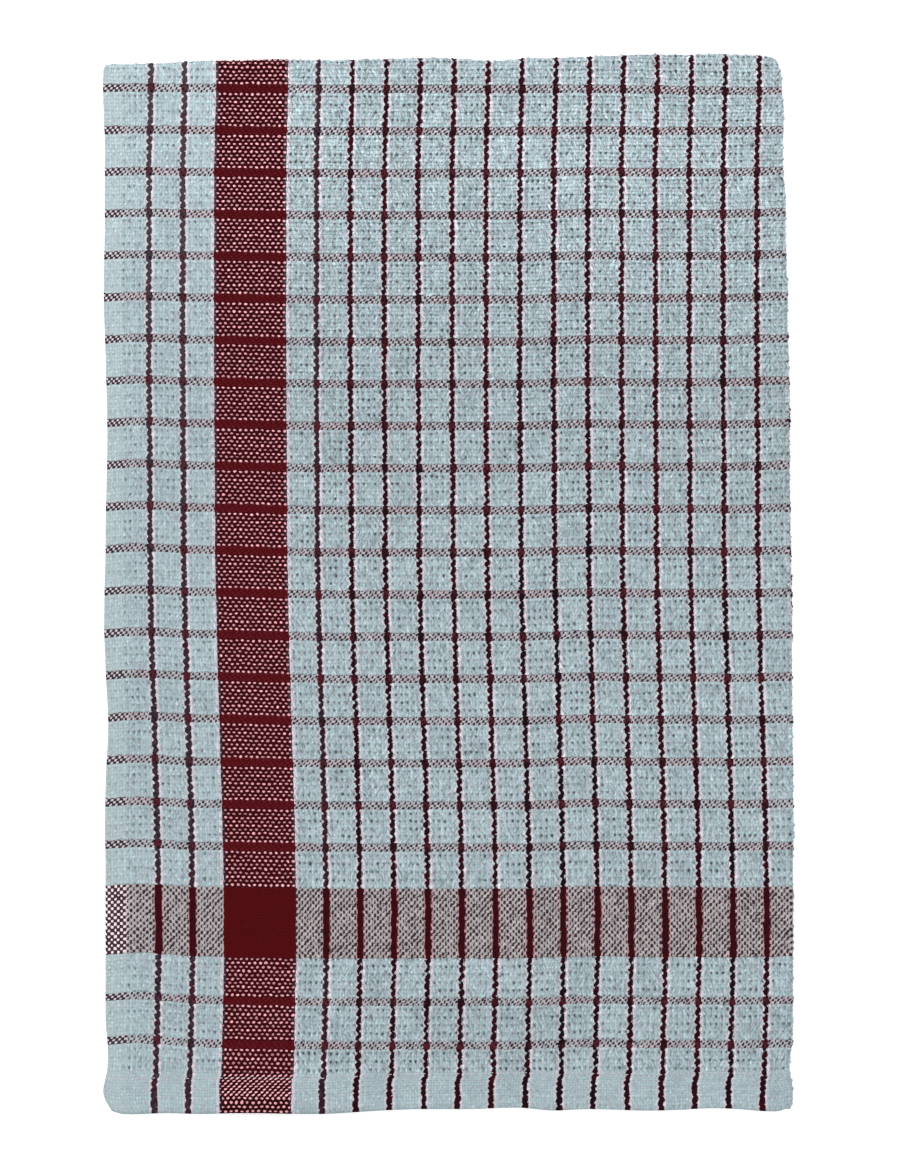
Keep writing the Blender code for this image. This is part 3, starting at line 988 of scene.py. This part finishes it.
    # The relief: the yarn on top is rounded, its fibres are uneven, and the gaps lie lower
    warp_level = end_round * 0.3 - over * 0.35
    weft_level = pick_round * 0.3 + over * 0.4
    level = warp_level.fade(over.rise(-0.4, 0.05), weft_level)
    level = level + fibre * 0.8 * rough_weave - shaded_gap * 0.9
    relief = {"Strength": 0.9, "Distance": YARN_RELIEF * MM, "Height": level}
    maker.node("Bump", (), relief).feed(shader, "Normal")
    return material


cloth.data.materials.append(weave_finish("woven check"))
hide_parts("towel_cloth")
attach(cloth, "root")


# ------------------------------------------------------------------------------------------------
# The yarns at the folds: where the cloth turns over, the yarns that run round the fold open out and
# stand a little proud of it, each as a rounded rib. They are the cloth's own yarns, dyed as it is.

RIB_START = math.radians(28.0)  # of the half turn that the fold makes
RIB_REACH = 0.46  # half a rib's width, as a share of the yarns' pitch
RIB_DEPTH = 0.3  # half its height
RIB_SUNK = 0.16  # how far its middle lies under the cloth's face
RIB_PROUD = 0.45  # how far the highest ribs stand out beyond that
MAP_SHARE = 0.8  # of a rib's width that its place on the threads' map covers
THREAD_SIDES = 6


def pick_heights(top):
    """The middle of every pick, in millimetres from the hem's edge."""
    found = []
    for row in HEM_PICKS:
        pitch = (row.stop - row.start) / row.count
        found += [row.start + pitch * (k + 0.5) for k in range(row.count)]
    start = HEM_PICKS[-1].stop
    while start < top:
        found += [start + LINE_PITCH * (k + 0.5) for k in range(LINE_PICKS)]
        found += [start + LINE_DEPTH + BAND_PITCH * (k + 0.5) for k in range(BAND_PICKS)]
        start += REPEAT_DEPTH
    return [height for height in found if height < top]


def points_at(values, line, spots):
    """Values along a line, at these spots of it."""
    return np.stack([np.interp(spots, line, column) for column in values.T], axis=-1)


def add_tube(points, faces, centre, across, lift):
    """A closed tube round a row of points, with its half width and half height at each."""
    first = len(points)
    angle = 2.0 * math.pi * np.arange(THREAD_SIDES)[:, None] / THREAD_SIDES
    for middle, side, up in zip(centre, across, lift):
        points.extend(middle + side * np.cos(angle) + up * np.sin(angle))
    for k in range(len(centre) - 1):
        for s in range(THREAD_SIDES):
            a = first + k * THREAD_SIDES + s
            b = first + k * THREAD_SIDES + (s + 1) % THREAD_SIDES
            faces.append((a, b, b + THREAD_SIDES, a + THREAD_SIDES))
    start = range(first, first + THREAD_SIDES)
    faces.append(tuple(start)[::-1])
    faces.append(tuple(len(points) - THREAD_SIDES + s for s in range(THREAD_SIDES)))


def raise_ribs(name, laid):
    """The ribs of both folds as one mesh, which carries the threads' own map."""
    ends, heights = warp_count(laid), weft_height(laid)
    turn_x, turn_y = stations(ACROSS)[1], stations(ALONG)[1]
    on_long = np.flatnonzero((turn_x >= RIB_START) & (turn_x <= math.pi - RIB_START))
    on_short = np.flatnonzero((turn_y >= RIB_START) & (turn_y <= math.pi - RIB_START))
    last_column = int(np.flatnonzero(turn_x == 0.0)[-1])
    last_row = int(np.flatnonzero(turn_y == 0.0)[-1])
    first_row = int(np.flatnonzero(turn_y == math.pi)[0])
    chance = np.random.default_rng(5)
    points, faces, maps = [], [], []

    def rib(levels, k, sideways, pitch, map_step):
        middles, outs, places = (np.array([level[k] for level in grid]) for grid in levels)
        rise = RIB_PROUD * chance.random() ** 2.0 * hump(np.linspace(-1.0, 1.0, len(middles)))
        centre = middles + outs * (rise - RIB_SUNK)[:, None]
        across = np.array([sideways] * len(middles)) * RIB_REACH * pitch
        add_tube(points, faces, centre, across, outs * RIB_DEPTH)
        turned = np.cos(2.0 * math.pi * np.arange(THREAD_SIDES)[:, None] / THREAD_SIDES)
        for place in places:
            maps.extend(place + np.array(map_step) * turned * RIB_REACH * MAP_SHARE)

    grids = laid.outer, laid.out, np.stack([ends, heights], axis=-1)

    # The warp's yarns, round the short fold
    upper = slice(0, last_column + 1)
    spots = np.arange(2, int(ends[last_column, on_short[0]])) + END_MIDDLE
    levels = [[points_at(grid[upper, j], ends[upper, j], spots) for j in on_short] for grid in grids]
    for k in range(len(spots)):
        rib(levels, k, (1.0, 0.0, 0.0), END_PITCH, (1.0, 0.0))

    # The weft's, round the long fold, above the short fold and below it
    spots = pick_heights(heights[on_long[0], last_row])[1:]
    for rows in (np.arange(last_row + 1), np.arange(len(turn_y) - 1, first_row - 1, -1)):
        levels = [
            [points_at(grid[i, rows], heights[i, rows], spots) for i in on_long] for grid in grids
        ]
        for k in range(len(spots)):
            rib(levels, k, (0.0, -1.0, 0.0), BAND_PITCH, (0.0, -BAND_PITCH))

    piece = new_piece(name, points, faces)
    corners = [corner for face_corners in faces for corner in face_corners]
    mark_cloth(piece, np.array(maps), np.array(points), corners)
    return piece


ribs = raise_ribs("yarns_at_the_folds", laid_cloth)
ribs.data.materials.append(cloth.data.materials[0])
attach(ribs, "root")


# ------------------------------------------------------------------------------------------------
# The hem stitching: pale sewing thread, one straight line of lockstitch along each end hem, a
# little inside the turned flap's edge. Each stitch lies in the dent that it draws into the hem.

STITCH_PITCH = 1.9
STITCH_GAP = 0.55
STITCH_WIDTH = 0.3
STITCH_STEPS = 6
STITCH_PROUD = 0.05  # how far the middle of a stitch stands off the hem's surface
STITCH_DIP = 0.3  # how far its ends go down into the hem
STITCH_SLANT = 0.072  # the most that its ends lie off the line of stitching
STITCH_TAPER = 0.55
STITCH_FLATNESS = 0.7  # its height as a share of its width
THREAD_TWIST = 900.0  # the wave texture's scale, which gives a turn of twist in 0.7 mm
THREAD_RELIEF = 0.05
THREAD_PALE = dye(206, 199, 205)
THREAD_SHADED = dye(183, 176, 181)


def sew(name, laid):
    """Every stitch of the two hems as one mesh of short thread arcs, on both faces of the cloth."""
    from_hem = FOLDED_LENGTH * laid.run_y[0]
    rows = len(from_hem)
    upper = int(np.argmin(np.abs(from_hem[: rows // 2] - STITCH_LINE)))
    lower = rows // 2 + int(np.argmin(np.abs(from_hem[rows // 2 :] - STITCH_LINE)))
    t = np.linspace(-1.0, 1.0, STITCH_STEPS + 1)
    points, faces = [], []
    for row in (upper, lower):
        for face, sign in ((laid.outer, 1.0), (laid.inner, -1.0)):
            line = face[:, row]
            up = laid.out[:, row] * sign
            lengths = np.linalg.norm(np.diff(line, axis=0), axis=1)
            along = np.concatenate([[0.0], np.cumsum(lengths)])
            place = STITCH_PITCH
            while place + STITCH_PITCH < along[-1]:
                places = np.linspace(place, place + STITCH_PITCH - STITCH_GAP, STITCH_STEPS + 1)
                centre = points_at(line, along, places)
                lift = unit(points_at(up, along, places))
                centre[:, 1] += STITCH_SLANT * math.sin(place * 2.7) * t
                centre = centre + lift * (STITCH_PROUD - STITCH_DIP * t[:, None] ** 4)
                across = unit(np.cross(lift, unit(np.gradient(centre, axis=0))))
                width = STITCH_WIDTH / 2 * (1.0 - STITCH_TAPER * np.abs(t[:, None]) ** 3)
                add_tube(points, faces, centre, across * width, lift * width * STITCH_FLATNESS)
                place += STITCH_PITCH
    points = np.array(points)
    points[:, 2] = np.maximum(points[:, 2], 0.0)
    return new_piece(name, points, faces)


def thread_finish(name):
    """Twisted cotton sewing thread."""
    material, shader, maker = new_finish(name, {"Roughness": 0.7})
    place = maker.node("TexCoord", (), (), out="Object")
    bands = {"Vector": place, "Scale": THREAD_TWIST}
    twist = maker.node("TexWave", {"bands_direction": "DIAGONAL"}, bands, out=1)
    twist.dyed(THREAD_SHADED, THREAD_PALE).feed(shader, "Base Color")
    relief = {"Strength": 0.5, "Distance": THREAD_RELIEF * MM, "Height": twist}
    maker.node("Bump", (), relief).feed(shader, "Normal")
    return material


stitches = sew("hem_stitches", laid_cloth)
stitches.data.materials.append(thread_finish("sewing thread"))
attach(stitches, "root")


# ------------------------------------------------------------------------------------------------
# The floor, light and camera: a plain white floor, soft light that is a little stronger from
# above the towel's left side, and a camera straight above with a long lens.

FLOOR_SIZE = 6.0
FLOOR_FINISH = {
    "Base Color": (0.97, 0.97, 0.97, 1.0),
    "Roughness": 0.9,
    "Specular IOR Level": 0.0,
    "Emission Color": (1.0, 1.0, 1.0, 1.0),
    "Emission Strength": 0.4,
}
bpy.ops.mesh.primitive_plane_add(size=FLOOR_SIZE)
floor = bpy.context.object
floor.name = "floor"
floor.data.materials.append(new_finish("floor", FLOOR_FINISH)[0])

LAMPS = table(
    "name place size power",
    ("key", (-0.9, 1.0, 1.5), 1.1, 18.0),
    ("fill", (1.0, -0.6, 1.6), 1.4, 6.0),
)
for row in LAMPS:
    light = bpy.data.lights.new(row.name, "AREA")
    light.size = row.size
    light.energy = row.power
    lamp = bpy.data.objects.new(row.name, light)
    lamp.location = row.place
    aim = -lamp.location.normalized()
    lamp.rotation_euler = aim.to_track_quat("-Z", "Y").to_euler()
    bpy.context.scene.collection.objects.link(lamp)

world = bpy.data.worlds.new("studio")
world.use_nodes = True
sky = world.node_tree.nodes["Background"]
sky.inputs["Color"].default_value = (1.0, 1.0, 1.0, 1.0)
sky.inputs["Strength"].default_value = 0.74
bpy.context.scene.world = world

VIEW_HEIGHT = 396.0 * MM
CAMERA_HEIGHT = 2.4
FRAME_CENTRE = (0.58 * MM, -1.3 * MM)
camera_data = bpy.data.cameras.new("camera")
camera_data.sensor_width = 36.0
camera_data.lens = camera_data.sensor_width * CAMERA_HEIGHT / VIEW_HEIGHT
camera_data.clip_end = 20.0
camera = bpy.data.objects.new("camera", camera_data)
camera.location = (*FRAME_CENTRE, CAMERA_HEIGHT + cad_box[1][2])
bpy.context.scene.collection.objects.link(camera)
bpy.context.scene.camera = camera
bpy.context.scene.view_settings.view_transform = "Standard"
